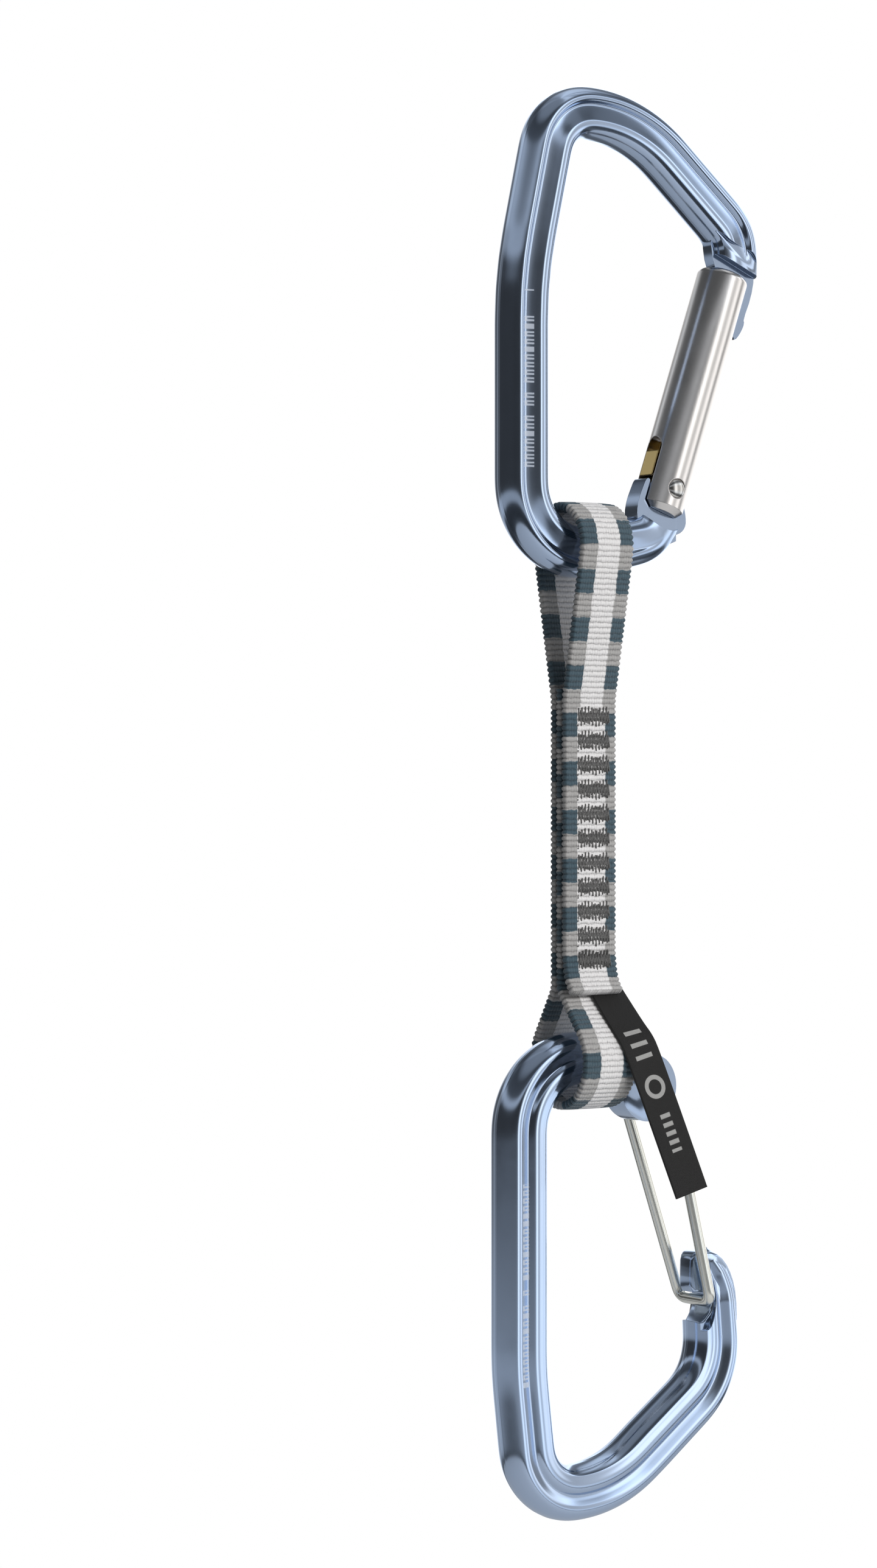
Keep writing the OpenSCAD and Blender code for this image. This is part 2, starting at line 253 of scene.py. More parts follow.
class Nodes:
    """A material or world tree, with its sums written as calls."""

    def __init__(self, tree):
        self.tree = tree
        tree.nodes.clear()

    def add(self, kind, **settings):
        node = self.tree.nodes.new("ShaderNode" + kind)
        for key, value in settings.items():
            if hasattr(node, key):
                setattr(node, key, value)
            else:
                self.put(node.inputs[key.replace("_", " ")], value)
        return node

    def put(self, socket, value):
        if isinstance(value, bpy.types.NodeSocket):
            self.tree.links.new(value, socket)
        elif socket.type == "RGBA":
            socket.default_value = (*value, 1) if len(value) == 3 else value
        else:
            socket.default_value = value

    def math(self, operation, *values):
        node = self.tree.nodes.new("ShaderNodeMath")
        node.operation = operation
        for socket, value in zip(node.inputs, values, strict=False):
            self.put(socket, value)
        return node.outputs[0]

    def mix(self, factor, a, b):
        node = self.tree.nodes.new("ShaderNodeMix")
        node.data_type = "RGBA"
        for name, value in (("Factor", factor), ("A", a), ("B", b)):
            socket = next(
                s for s in node.inputs
                if s.name == name and s.type == ("VALUE" if name == "Factor" else "RGBA")
            )
            self.put(socket, value)
        return next(s for s in node.outputs if s.type == "RGBA")

    def ramp(self, factor, stops):
        """Colour by position: stops are (position, grey or colour)."""
        node = self.tree.nodes.new("ShaderNodeValToRGB")
        node.color_ramp.interpolation = "LINEAR"
        elements = node.color_ramp.elements
        while len(elements) < len(stops):
            elements.new(0.5)
        for element, (place, colour) in zip(elements, stops, strict=True):
            element.position = place
            if np.ndim(colour) == 0:
                colour = (colour,) * 3
            element.color = (*colour, 1)
        self.put(node.inputs[0], factor)
        return node.outputs[0]

    def between(self, value, low, high, edge=0.05):
        """1 where low < value < high, with soft edges."""
        up = self.add("MapRange", Value=value, From_Min=low - edge, From_Max=low + edge)
        down = self.add("MapRange", Value=value, From_Min=high + edge, From_Max=high - edge)
        return self.math("MULTIPLY", up.outputs[0], down.outputs[0])

    def split(self, vector):
        node = self.add("SeparateXYZ", Vector=vector)
        return node.outputs[0], node.outputs[1], node.outputs[2]


def new_material(name):
    material = bpy.data.materials.new(name)
    material.use_nodes = True
    nodes = Nodes(material.node_tree)
    shader = nodes.add("BsdfPrincipled")
    out = nodes.add("OutputMaterial")
    nodes.put(out.inputs["Surface"], shader.outputs[0])
    return material, nodes, shader


def metal(name, colour, roughness, edge=0.25, marks=None, grain=0.0):
    """A metal with worn-round edges.

    marks is where a row of plain etched blocks goes: its span in x, its span in z, and
    the y that the face has to be in front of.
    """
    material, nodes, shader = new_material(name)
    place = nodes.add("TexCoord").outputs["Object"]
    cloud = nodes.add("TexNoise", Vector=place, Scale=180.0, Detail=3.0)
    rough = nodes.math("MULTIPLY_ADD", cloud.outputs[0], 0.10, roughness - 0.05)
    shade, metallic = colour, 1.0
    if marks:
        block_pitch, etch = 1.5, 0.62
        (x_low, x_high), (z_low, z_high), front = marks
        x, y, z = nodes.split(place)
        row = nodes.math("DIVIDE", z, block_pitch * MM)
        chance = nodes.add("TexWhiteNoise", noise_dimensions="1D", W=nodes.math("FLOOR", row))
        part = nodes.math("FRACT", row)
        stroke = nodes.between(part, 0.16, 0.84, 0.06)
        middle = (x_low + x_high) / 2 * MM
        reach = 0.22 * (x_high - x_low) * MM
        hollow = nodes.math(
            "MULTIPLY", nodes.between(part, 0.40, 0.62, 0.06),
            nodes.between(x, middle - reach, middle + 2.4 * reach, 0.05 * MM),
        )
        open_block = nodes.math("GREATER_THAN", chance.outputs[0], 0.35)
        hollow = nodes.math("MULTIPLY", hollow, open_block)
        stroke = nodes.math("SUBTRACT", stroke, hollow)
        written = nodes.math("GREATER_THAN", chance.outputs[0], 0.12)
        inside = nodes.between(x, x_low * MM, x_high * MM, 0.05 * MM)
        along = nodes.between(z, z_low * MM, z_high * MM, 0.1 * MM)
        facing = nodes.math("LESS_THAN", y, front * MM)
        mask = stroke
        for other in (written, inside, along, facing):
            mask = nodes.math("MULTIPLY", mask, other)
        mask = nodes.math("MULTIPLY", mask, etch)
        shade = nodes.mix(mask, colour, (0.66, 0.68, 0.72))
        rough = nodes.math("MULTIPLY_ADD", mask, 0.3, rough)
        metallic = nodes.math("SUBTRACT", 1.0, mask)
    bevel = nodes.add("Bevel", samples=6, Radius=edge * MM)
    normal = bevel.outputs[0]
    if grain:
        # Fine lengthwise scratches: noise that is short across the gate and long along it.
        stretch = nodes.add("Mapping", Vector=place)
        stretch.inputs["Rotation"].default_value = (0, math.radians(-GATE_LEAN), 0)
        stretch.inputs["Scale"].default_value = (1.0, 1.0, 0.012)
        scratch = nodes.add("TexNoise", Vector=stretch.outputs[0], Scale=5200.0, Detail=4.0)
        bump = nodes.add(
            "Bump", Strength=grain, Distance=0.02 * MM, Height=scratch.outputs[0], Normal=normal
        )
        normal = bump.outputs[0]
    nodes.put(shader.inputs["Base Color"], shade)
    nodes.put(shader.inputs["Metallic"], metallic)
    nodes.put(shader.inputs["Roughness"], rough)
    nodes.put(shader.inputs["Normal"], normal)
    return material


def woven(name, stripes):
    """Webbing seen close: rows of yarn with staggered floats. UV is in mm, across and along."""
    material, nodes, shader = new_material(name)
    u, v, _ = nodes.split(nodes.add("UVMap", uv_map="UVMap").outputs[0])
    wander = nodes.add("TexNoise", noise_dimensions="2D", Scale=0.9, Detail=2.0)
    nodes.put(wander.inputs["Vector"], nodes.add("UVMap", uv_map="UVMap").outputs[0])
    drift = nodes.math("MULTIPLY_ADD", wander.outputs[0], 0.5, -0.25)
    # Weft rows that bow and wander a little, crossed by fine warp yarns.
    bow = nodes.math("MULTIPLY_ADD", drift, 0.9, nodes.math("DIVIDE", v, ROW))
    row = nodes.math("SINE", nodes.math("MULTIPLY", nodes.math("FRACT", bow), math.pi))
    row = nodes.math("POWER", row, 0.55)
    yarn = nodes.math("DIVIDE", nodes.math("ADD", u, nodes.math("MULTIPLY", drift, 0.4)), YARN)
    yarn = nodes.math("SINE", nodes.math("MULTIPLY", nodes.math("FRACT", yarn), math.pi))
    height = nodes.math("MULTIPLY_ADD", yarn, 0.22, row)
    colour = stripes(nodes, u, v, drift)
    hair = nodes.add("TexNoise", noise_dimensions="2D", Scale=1.0, Detail=5.0)
    stretched = nodes.add("Mapping", Vector=nodes.add("UVMap", uv_map="UVMap").outputs[0])
    stretched.inputs["Scale"].default_value = (5.5, 1.3, 1.0)
    nodes.put(hair.inputs["Vector"], stretched.outputs[0])
    # Painted shade: the colour is darker in the low grooves between weft rows and warp yarns, and
    # the fibre noise then varies it at random.
    groove_shade_and_fibre_tone = nodes.math("MULTIPLY_ADD", height, 0.42, 0.56)
    groove_shade_and_fibre_tone = nodes.math("MULTIPLY", groove_shade_and_fibre_tone, nodes.math("MULTIPLY_ADD", hair.outputs[0], 0.7, 0.65))
    dark = nodes.mix(groove_shade_and_fibre_tone, (0, 0, 0), colour)
    bump = nodes.add("Bump", Strength=0.8, Distance=0.22 * MM)
    nodes.put(
        bump.inputs["Height"],
        nodes.math("MULTIPLY_ADD", hair.outputs[0], 0.35, height),
    )
    nodes.put(shader.inputs["Base Color"], dark)
    nodes.put(shader.inputs["Roughness"], 0.55)
    nodes.put(shader.inputs["Sheen Weight"], 0.25)
    nodes.put(shader.inputs["Normal"], bump.outputs[0])
    return material


# ================= Driving sizes, the same as the CAD part's =================

GATE_LEAN = 19.4
RIVET = np.array([19.6, -68.7])
BORE_TOP = 34
WIRE_HINGE = np.array([16, -189])
WIRE_D = 2.3
WEB_W, WEB_T, WEB_PITCH = 12.6, 1.75, 1.85
TOP_AXIS, LOW_AXIS = -80.7, -182.5
SEWN_TOP, SEWN_LOW = -112.0, -165.0

# Distance from one row of the weave to the next, and from one yarn to the next.
ROW, YARN = 1.09, 0.62

BLUE = (0.47, 0.57, 0.74)
PETROL = (0.055, 0.095, 0.12)
LIGHT_GREY = (0.42, 0.405, 0.39)
CREAM = (0.84, 0.815, 0.80)

anodised_top = metal(
    "anodised_top", BLUE, 0.14, edge=0.12, marks=((-16.4, -14.5), (-66, -31), -2.0)
)
anodised_low = metal(
    "anodised_low", BLUE, 0.14, edge=0.12, marks=((-17.4, -15.6), (-246, -206), -2.0)
)
bare = metal("bare_aluminium", (0.80, 0.765, 0.74), 0.22, grain=0.25)
steel = metal("stainless", (0.62, 0.60, 0.57), 0.18, edge=0.15)
wire_steel = metal("stainless_wire", (0.86, 0.85, 0.78), 0.24, edge=0.1)
brass = metal("brass", (0.70, 0.52, 0.22), 0.22)


# ================= Forged bars =================

# Half sections as (across, thickness) shares of the half width and half thickness,
# from the outer edge over the front face to the inner edge.
TOP_SECTION = [
    (-1.0, 0.0), (-0.985, 0.30), (-0.91, 0.60), (-0.78, 0.84), (-0.64, 0.97), (-0.52, 1.0),
    (-0.42, 0.97), (-0.35, 0.86), (-0.29, 0.74), (-0.12, 0.79), (0.08, 0.87), (0.25, 0.95),
    (0.36, 1.0), (0.50, 1.0), (0.64, 0.95), (0.78, 0.83), (0.91, 0.60), (0.985, 0.30), (1.0, 0.0),
]
LOW_SECTION = [
    (-1.0, 0.0), (-0.985, 0.28), (-0.91, 0.56), (-0.80, 0.78), (-0.68, 0.91), (-0.61, 0.935),
    (-0.50, 0.955), (-0.36, 1.0), (-0.22, 0.995), (-0.10, 0.945), (-0.02, 0.86), (0.04, 0.79),
    (0.16, 0.84), (0.30, 0.92), (0.42, 0.985), (0.54, 1.0), (0.67, 0.96), (0.80, 0.82),
    (0.92, 0.57), (0.985, 0.28), (1.0, 0.0),
]


def forged_bar(name, corners, widths, thick, section, relief, depths=((0, 1), (1, 1))):
    """A bar along corners [x, z, radius]. relief fades the channels in and out along it,
    and depths its thickness."""
    line = spaced(rounded(corners), 0.45 * FINE + 0.1, soften=1.2)
    ahead = tangents(line)
    inner = np.stack([-ahead[:, 1], ahead[:, 0]], -1)
    along = np.linspace(0, 1, len(line))
    half_w = np.interp(along, *zip(*widths, strict=True)) / 2
    shown = np.interp(along, *zip(*relief, strict=True))
    fade = np.interp(along, *zip(*depths, strict=True))
    front = softened(section, 3, closed=False)
    plain = (1 - np.abs(front[:, 0]) ** 2.5) ** (1 / 2.5)
    across = np.r_[front[:, 0], front[-2:0:-1, 0]]
    rings = []
    for p, n, w, k, d in zip(line, inner, half_w, shown, fade, strict=True):
        depth = plain * (1 - k) + front[:, 1] * k
        depth = np.r_[depth, -depth[-2:0:-1]] * thick / 2 * d
        flat = p + np.outer(across * w, n)
        rings.append(np.stack([flat[:, 0], -depth, flat[:, 1]], -1))
    return add_mesh(name, *skin(np.array(rings)[:, ::-1]), None)


def both_faces(name, outline, depth, reach=6.0):
    """Cutters outside the two flats at y = depth and y = -depth."""
    return (
        prism(name + "_front", outline, -reach, -depth),
        prism(name + "_back", outline, depth, reach),
    )


# ---- Top carabiner
top_bar = forged_bar(
    "top_carabiner",
    [(37, -27, 0), (37.2, -16.2, 9), (11.8, 5.3, 31), (-7.6, 5.3, 9.4), (-15, -28, 80),
     (-15, -85, 13.5), (15.6, -78.6, 7), (19.2, -73, 0)],
    [(0, 10.6), (0.15, 10.4), (0.85, 10.4), (1, 9.4)],
    8.2,
    TOP_SECTION,
    [(0, 0.6), (0.06, 1), (0.88, 1), (0.97, 0), (1, 0)],
)
below_nose = [(20, -15.35), (50, -28.1), (50, -40), (20, -40)]
nose_flat = softened(
    [(26, -15.2), (29.5, -15.7), (32.2, -16.4), (34.4, -18.1), (37.9, -18.9),
     (40.1, -19.9), (41.6, -22.4), (44, -24), (44, -32), (26, -26)], 2
)
boolean(
    top_bar, "DIFFERENCE",
    prism("below", below_nose, -10, 10), *both_faces("nose", nose_flat, 3.3),
)
past_hinge = [(23.3, -60), (23.3, -74.5), (22.9, -76.4), (21.4, -79.4), (30, -86), (34, -60)]
boolean(
    top_bar, "DIFFERENCE",
    cylinder("shoulder", RIVET, 8.3, -10, 10, 160), prism("past_hinge", past_hinge, -10, 10),
)
key = softened(
    [(30.8, -15), (31.1, -20.5), (32.3, -24), (34.8, -28.6), (36.5, -30.4), (36.3, -32.6),
     (35.9, -34.2), (36.7, -37.6), (37.6, -37.2), (38.8, -35.6), (39.5, -34.1), (39.3, -33.2),
     (41.2, -28.8), (42.1, -24.5), (41.4, -15)], 1
)
tang_round = [
    RIVET + 3.2 * np.array([math.cos(a), math.sin(a)]) for a in np.linspace(-0.9, 3.3, 30)
]
tang = np.concatenate([tang_round, [(12.8, -77.5), (17, -80.8), (21.5, -79)]])
horn = softened(
    [(13, -79), (11.6, -74), (12.2, -70.9), (13.2, -68.6), (14.1, -66.7), (15.0, -66.5),
     (15.3, -68), (14.9, -70.5), (16, -73), (22.7, -69.5), (24, -73.5), (24, -76.4),
     (21.5, -78)], 2
)
boolean(
    top_bar, "UNION",
    prism("key", key, -1.4, 1.4), prism("tang", tang, -2.1, 2.1), prism("horn", horn, -2.08, 2.08),
)
boolean(top_bar, "DIFFERENCE", cylinder("rivet_hole", RIVET, 1.55, -10, 10))
placed(crisp(top_bar, anodised_top, 50), "top_carabiner", "anodised_bar", "top_carabiner_body")

# ---- Bottom carabiner
low_bar = forged_bar(
    "bottom_carabiner",
    [(27.9, -222.4, 0), (31.0, -230, 14), (32.4, -247.5, 15), (6.4, -267.4, 26),
     (-12.6, -268.6, 10.5), (-15.5, -243, 60), (-15.5, -177.6, 14), (12.4, -185.4, 0)],
    [(0, 5), (0.012, 7.6), (0.03, 9.4), (0.05, 10.6), (0.12, 11.4), (0.25, 11.8), (0.42, 11),
     (0.86, 11), (1, 9.6)],
    8.4,
    LOW_SECTION,
    [(0, 0.5), (0.03, 1), (0.88, 1), (0.96, 0), (1, 0)],
    [(0, 0.5), (0.012, 0.76), (0.03, 0.9), (0.06, 1), (1, 1)],
)
seat_flat = softened(
    [(20, -218), (28.6, -218), (29.6, -224), (30.4, -230), (29.9, -235), (28.4, -238.6),
     (24.5, -236.8), (20, -236)], 2
)
hinge_flat = [(9.5, -170), (30, -170), (30, -200), (9.5, -200)]
seat_space = [(20, -236), (27, -236.2), (29.6, -234), (29.6, -216), (20, -216)]
boolean(
    low_bar, "DIFFERENCE",
    *both_faces("seat", seat_flat, 3.0), *both_faces("hinge", hinge_flat, 3.0),
    prism("space", seat_space, -10, 10), cylinder("notch", (27.2, -234.6), 1.9, -10, 10),
)
hood = softened(
    [(25.3, -230.3), (25.3, -226), (25.4, -223.4), (26.6, -222.1), (30.6, -222.3),
     (33.2, -224.2), (35.1, -227.4), (36.2, -231.5), (36.4, -238), (31.5, -241),
     (26.8, -240), (26.9, -236.8), (28.6, -234.9), (29.6, -233.4), (29.6, -230.6),
     (28, -230.3)], 1
)
HOOD_HALF = [(25.3, 1.9), (29.6, 3.4), (36.5, 3.4)]
lobe = [
    np.array([14, -188.3]) + 6.9 * np.array([math.cos(a), math.sin(a)])
    for a in np.linspace(-2.6, 0.9, 40)
]
hinge = np.concatenate([lobe, [(13.5, -180.2), (9.0, -179.8), (5.2, -183.0), (6.2, -187.6)]])
boolean(
    low_bar, "UNION", prism("hinge", hinge, -2.98, 2.98), eased("hood", hood, HOOD_HALF, 0.6)
)
boolean(low_bar, "DIFFERENCE", cylinder("wire_hole", WIRE_HINGE, 1.2, -10, 10))
placed(
    crisp(low_bar, anodised_low, 50), "bottom_carabiner", "anodised_bar", "bottom_carabiner_body"
)


# ================= Straight gate =================

LEAN = math.radians(GATE_LEAN)
ALONG = np.array([math.sin(LEAN), 0, math.cos(LEAN)])
OUT = np.array([math.cos(LEAN), 0, -math.sin(LEAN)])
SIDE = np.array([0, 1.0, 0])
PIVOT = np.array([RIVET[0], 0, RIVET[1]])


def in_gate(x, y, z):
    """A point given across, sideways and along the gate from its rivet."""
    outer = np.multiply.outer
    return PIVOT + outer(x, OUT) + outer(y, SIDE) + outer(z, ALONG)


def gate_lathe(name, profile, sides=128, about="along"):
    """A turned solid about the gate's axis, or about its rivet's."""
    turn = np.linspace(0, 2 * math.pi, sides, endpoint=False)
    rings = []
    for r, z in profile:
        r = max(r, 0.002)
        if about == "along":
            rings.append(in_gate(r * np.cos(turn), r * np.sin(turn), np.full(sides, z)))
        else:
            rings.append(in_gate(r * np.sin(turn), np.full(sides, z), r * np.cos(turn)))
    return add_mesh(name, *skin(np.array(rings)), None)


def gate_block(name, x, y, z):
    """A block between two values of each gate direction."""
    rings = [
        [in_gate(x[i], y[j], z[k]) for i, j in ((0, 0), (1, 0), (1, 1), (0, 1))]
        for k in (0, 1)
    ]
    return add_mesh(name, *skin(np.array(rings)), None)


def arc(cx, cz, r, start, end, count=9):
    a = np.radians(np.linspace(start, end, count))
    return [(cx + r * math.cos(t), cz + r * math.sin(t)) for t in a]


gate_r, gate_top, round_r = 5.25, 47, 1.3
gate = gate_lathe(
    "top_gate_tube",
    [(0, -5), (4.05, -5), (gate_r, -3.8), (gate_r, 10), (gate_r, 22), (gate_r, 34)]
    + arc(gate_r - round_r, gate_top - round_r, round_r, 0, 90) + [(0, gate_top)],
)
slot_half, slot_top = 2.4, 7.2
turn = np.linspace(0, 2 * math.pi, 40, endpoint=False)
slot_end = add_mesh(
    "slot_end",
    *skin(np.array([
        in_gate(np.full(len(turn), x), slot_half * np.cos(turn), slot_top + slot_half * np.sin(turn))
        for x in (-6.5, 0.0)
    ])),
    None,
)
boolean(
    gate, "DIFFERENCE",
    gate_block("tang_slot", (-6.5, 6.5), (-slot_half, slot_half), (-6, 4.2)),
    gate_block("inner_slot", (-6.5, 0), (-slot_half, slot_half), (-6, slot_top)),
    slot_end,
    gate_lathe("bore", [(0, 3.2), (2.8, 3.2), (2.8, BORE_TOP), (0, BORE_TOP)], 64),
    gate_block("key_top", (-3.9, 7), (-1.75, 1.75), (36, 48)),
    gate_block("key_low", (0.4, 7), (-1.75, 1.75), (31.5, 36.5)),
    gate_lathe("rivet_bore", [(0, -8), (1.52, -8), (1.52, 8), (0, 8)], 64, "rivet"),
    gate_lathe("pocket_front", [(0, -8), (2.2, -8), (2.0, -4.75), (0, -4.75)], 64, "rivet"),
    gate_lathe("pocket_back", [(0, 4.75), (2.0, 4.75), (2.2, 8), (0, 8)], 64, "rivet"),
)
placed(crisp(gate, bare), "gate", "bare_gate", "top_gate")

head = [(1.9 * math.sin(a), -4.80 - 0.72 * math.cos(a)) for a in np.linspace(0, math.pi / 2, 10)]
rivet = gate_lathe(
    "top_rivet", head + [(1.5, -4.8), (1.5, 4.8)] + [(r, -z) for r, z in head[::-1]], 48, "rivet"
)
placed(crisp(rivet, steel), "gate", "steel_rivet", "top_gate_rivet")

blade = [(-4.9, 1.3), (-2.6, 3.5), (0.8, 3.5), (0.8, 11.5), (-1.5, 11.5), (-1.5, 6.6), (-4.9, 6.6)]
pusher = add_mesh(
    "pusher",
    *skin(np.array([[in_gate(x, y, z) for x, z in blade] for y in (-1.95, 1.95)])),
    None,
)
boolean(pusher, "UNION", gate_lathe("cap", [(0, 10.5), (2.5, 10.5), (2.5, 13), (0, 13)], 48))
placed(crisp(pusher, brass), "pusher", "brass_pusher", "top_gate_pusher")

coil_r, turns, spring_low, spring_rise = 2.2, 9, 13.32, 20.36
step = np.linspace(0, 1, turns * 24)
coil = in_gate(
    coil_r * np.cos(2 * math.pi * turns * step), coil_r * np.sin(2 * math.pi * turns * step),
    spring_low + spring_rise * step,
)
spring = tube("gate_spring", coil, 0.6, wire_steel, 10)
placed(spring, "gate", "steel_wire", "top_gate_spring")
tuple(in_gate(0, 0, BORE_TOP) * MM)
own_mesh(spring)


# ================= Wire gate =================

seat_at = np.array([28, -232])
front_leg = WIRE_HINGE + (2.2, -2.6)
back_leg = WIRE_HINGE + (-1.6, -4.0)


def wire_line():
    """From the front pin down one leg, across the seat and up the other leg."""
    side = 5.1
    corners = [
        (*WIRE_HINGE, -0.4), (*WIRE_HINGE, -side), (*front_leg, -side), (*seat_at, -side),
        (*seat_at, side), (*back_leg, side), (*WIRE_HINGE, side), (*WIRE_HINGE, 0.4),
    ]
    points = np.array([(x, y, z) for x, z, y in corners], float)
    radii = [0, 1.3, 3, 2.2, 2.2, 3, 1.3, 0]
    line = [points[0]]
    for i in range(1, len(points) - 1):
        a, b, c = points[i - 1], points[i], points[i + 1]
        back, on = unit(a - b), unit(c - b)
        turn = math.acos(np.clip(-back @ on, -1, 1))
        reach = min(
            radii[i] * math.tan(turn / 2),
            0.49 * np.linalg.norm(a - b), 0.49 * np.linalg.norm(c - b),
        )
        start, end = b + back * reach, b + on * reach
        for t in np.linspace(0, 1, 12):
            line.append((1 - t) ** 2 * start + 2 * t * (1 - t) * b + t * t * end)
    line.append(points[-1])
    return spaced(line, 0.25, soften=0.3)


wire = tube("wire_loop", wire_line(), WIRE_D, wire_steel, 32)
placed(wire, "wire", "steel_wire", "wire_gate")


# ================= Sling =================


def touch(y, z, axis_z, radius):
    """Angles at which lines from [y, z] touch the circle about [0, axis_z]."""
    d = np.array([y, z - axis_z])
    at, spread = math.atan2(d[1], d[0]), math.acos(radius / np.linalg.norm(d))
    return at - spread, at + spread


def strap_middle():
    """The strap's middle line as [y, z], from its front end to its inner end."""
    r_top, r_low = 7.0 + WEB_T / 2, 8.0 + WEB_T / 2
    top_z, low_z = SEWN_TOP + 1, SEWN_LOW - 3.5
    front_start = touch(-WEB_PITCH, top_z, TOP_AXIS, r_top)[0]
    back_start = touch(WEB_PITCH, top_z, TOP_AXIS, r_top)[1]
    back_end = touch(WEB_PITCH, low_z, LOW_AXIS, r_low)[0]
    inner_end = touch(0, low_z, LOW_AXIS, r_low)[1]

    def loop(start, sweep, axis_z, radius):
        a = np.linspace(start, start - sweep, 90)
        return np.stack([radius * np.cos(a), axis_z + radius * np.sin(a)], -1)

    full = 2 * math.pi
    return np.concatenate([
        [(-4.5, -169), (-3.2, -167.3), (-2.4, -165.2), (-WEB_PITCH, -161.5), (-WEB_PITCH, top_z)],
        loop(front_start, front_start - back_start + full, TOP_AXIS, r_top),
        [(WEB_PITCH, top_z), (WEB_PITCH, low_z)],
        loop(back_end, back_end - inner_end + full, LOW_AXIS, r_low),
        [(0, low_z), (0, -109)],
    ])


def webbing():
    """The strap as one dense skin with weave rows and scalloped edges."""
    gap = 0.22
    line = spaced(strap_middle(), gap, soften=0.8)
    ahead = tangents(line)
    normal = np.stack([-ahead[:, 1], ahead[:, 0]], -1)
    run = np.r_[0, np.cumsum(np.linalg.norm(np.diff(line, axis=0), axis=1))]
    # Round the section: points go across one face, over the edge and back on the other.
    half = WEB_W / 2
    face = np.linspace(-half + 0.5, half - 0.5, 56)
    edge = np.linspace(math.pi / 2, -math.pi / 2, 7)[1:-1]
    crown = WEB_T / 2 * (1 - 0.16 * np.abs(face / half) ** 3)
    rise = crown[-1]
    right_u, right_h = half - 0.5 + 0.5 * np.cos(edge), rise * np.sin(edge)
    u = np.r_[face, right_u, face[::-1], -right_u[::-1]]
    h = np.r_[crown, right_h, -crown[::-1], right_h[::-1]]
    rings, uv = [], []
    for p, n, s in zip(line, normal, run, strict=True):
        # Each row of weft swells the strap a little and scallops its edges.
        swell = abs(math.sin(math.pi * s / ROW))
        lift = 0.16 * (swell - 0.6) * np.sign(h) * (np.abs(h) > 0.3)
        wide = u * (1 + 0.055 * (swell - 0.75) * (np.abs(u) > half - 0.7))
        off = h + lift
        rings.append(np.stack([wide, p[0] + n[0] * off, p[1] + n[1] * off], -1))
        uv.append(np.stack([u, np.full(len(u), s)], -1))
    points, faces = skin(np.array(rings))
    return points, faces, np.concatenate(uv), run[-1]


def strap_stripes(nodes, u, v, drift):
    """Cream centre, and edges that change between petrol and light grey."""
    repeat, phase, sewn_end, centre_half = 9.6, 0.68, 57.0, 2.7
    wave = nodes.math("ADD", nodes.math("DIVIDE", v, repeat), phase)
    wave = nodes.math("ADD", wave, nodes.math("MULTIPLY", drift, 0.12))
    block = nodes.between(nodes.math("FRACT", wave), 0.0, 0.5, 0.012)
    edges = nodes.mix(block, LIGHT_GREY, PETROL)
    # The sewn stretch, at the strap's front end, is pulled flatter and shows more cream.
    sewn = nodes.math("MULTIPLY_ADD", nodes.math("LESS_THAN", v, sewn_end), -0.21, 1.0)
    centre = nodes.math("MULTIPLY", nodes.math("ADD", u, drift), sewn)
    centre = nodes.between(centre, -centre_half, centre_half, 0.08)
    return nodes.mix(centre, edges, CREAM)


web_material = woven("webbing_polyester", strap_stripes)
points, faces, uv, web_length = webbing()
strap = add_mesh("sling_strap", points, faces, web_material, uv, sharp=0)
placed(strap, "sling", "webbing", "sling_webbing")


# ---- Bar tacks: thread run back and forth across the sewn stack
def tack_thread(z, y, face):
    """One tack's zig-zag thread at height z, on the face at y."""
    left, pitch, stitches, tooth = -3.3, 0.2, 39, 4.4
    generator = np.random.default_rng(int(abs(z) * 10))
    points = []
    for i in range(stitches):
        saw = abs(((i / tooth) % 1) * 2 - 1)
        reach = 0.72 + 1.25 * saw + generator.normal(0, 0.07)
        side = 1 if i % 2 else -1
        x = left + pitch * i + generator.normal(0, 0.03)
        points.append((x, y + face * 0.08, z + side * reach))
        points.append((x + pitch / 2, y - face * 0.22, z + side * (reach + 0.08)))
    return np.array(points)


thread, thread_nodes, thread_shader = new_material("thread")
fibre = thread_nodes.add("TexNoise", Scale=4000.0, Detail=3.0)
thread_nodes.put(fibre.inputs["Vector"], thread_nodes.add("TexCoord").outputs["Object"])
thread_nodes.put(
    thread_shader.inputs["Base Color"],
    thread_nodes.ramp(fibre.outputs[0], [(0.3, (0.07, 0.068, 0.066)), (0.7, (0.18, 0.175, 0.17))]),
)
thread_nodes.put(thread_shader.inputs["Roughness"], 0.5)
tack_points, tack_faces, base = [], [], 0
tack_count, end_lift = 11, 0.4
tack_pitch = (SEWN_TOP - SEWN_LOW) / tack_count
for i in range(tack_count):
    z = SEWN_TOP - tack_pitch * (i + 0.5)
    for face in (-1, 1):
        y = face * (WEB_PITCH + WEB_T / 2 + 0.05)
        if face < 0 and i == tack_count - 1:
            y -= end_lift  # the lowest front tack lies on the strap's end, which stands proud
        line = spaced(tack_thread(z, y, face), 0.3)
        made = tube("tack", line, 0.30, None, 6)
        mesh = made.data
        co = np.zeros(len(mesh.vertices) * 3)
        mesh.vertices.foreach_get("co", co)
        tack_points.append(co.reshape(-1, 3) / MM)
        tack_faces += [[v + base for v in f.vertices] for f in mesh.polygons]
        base += len(mesh.vertices)
        bpy.data.objects.remove(made)
tacks = add_mesh("bar_tack_threads", np.concatenate(tack_points), tack_faces, thread, sharp=0)
placed(tacks, "sling", "thread", "bar_tacks")


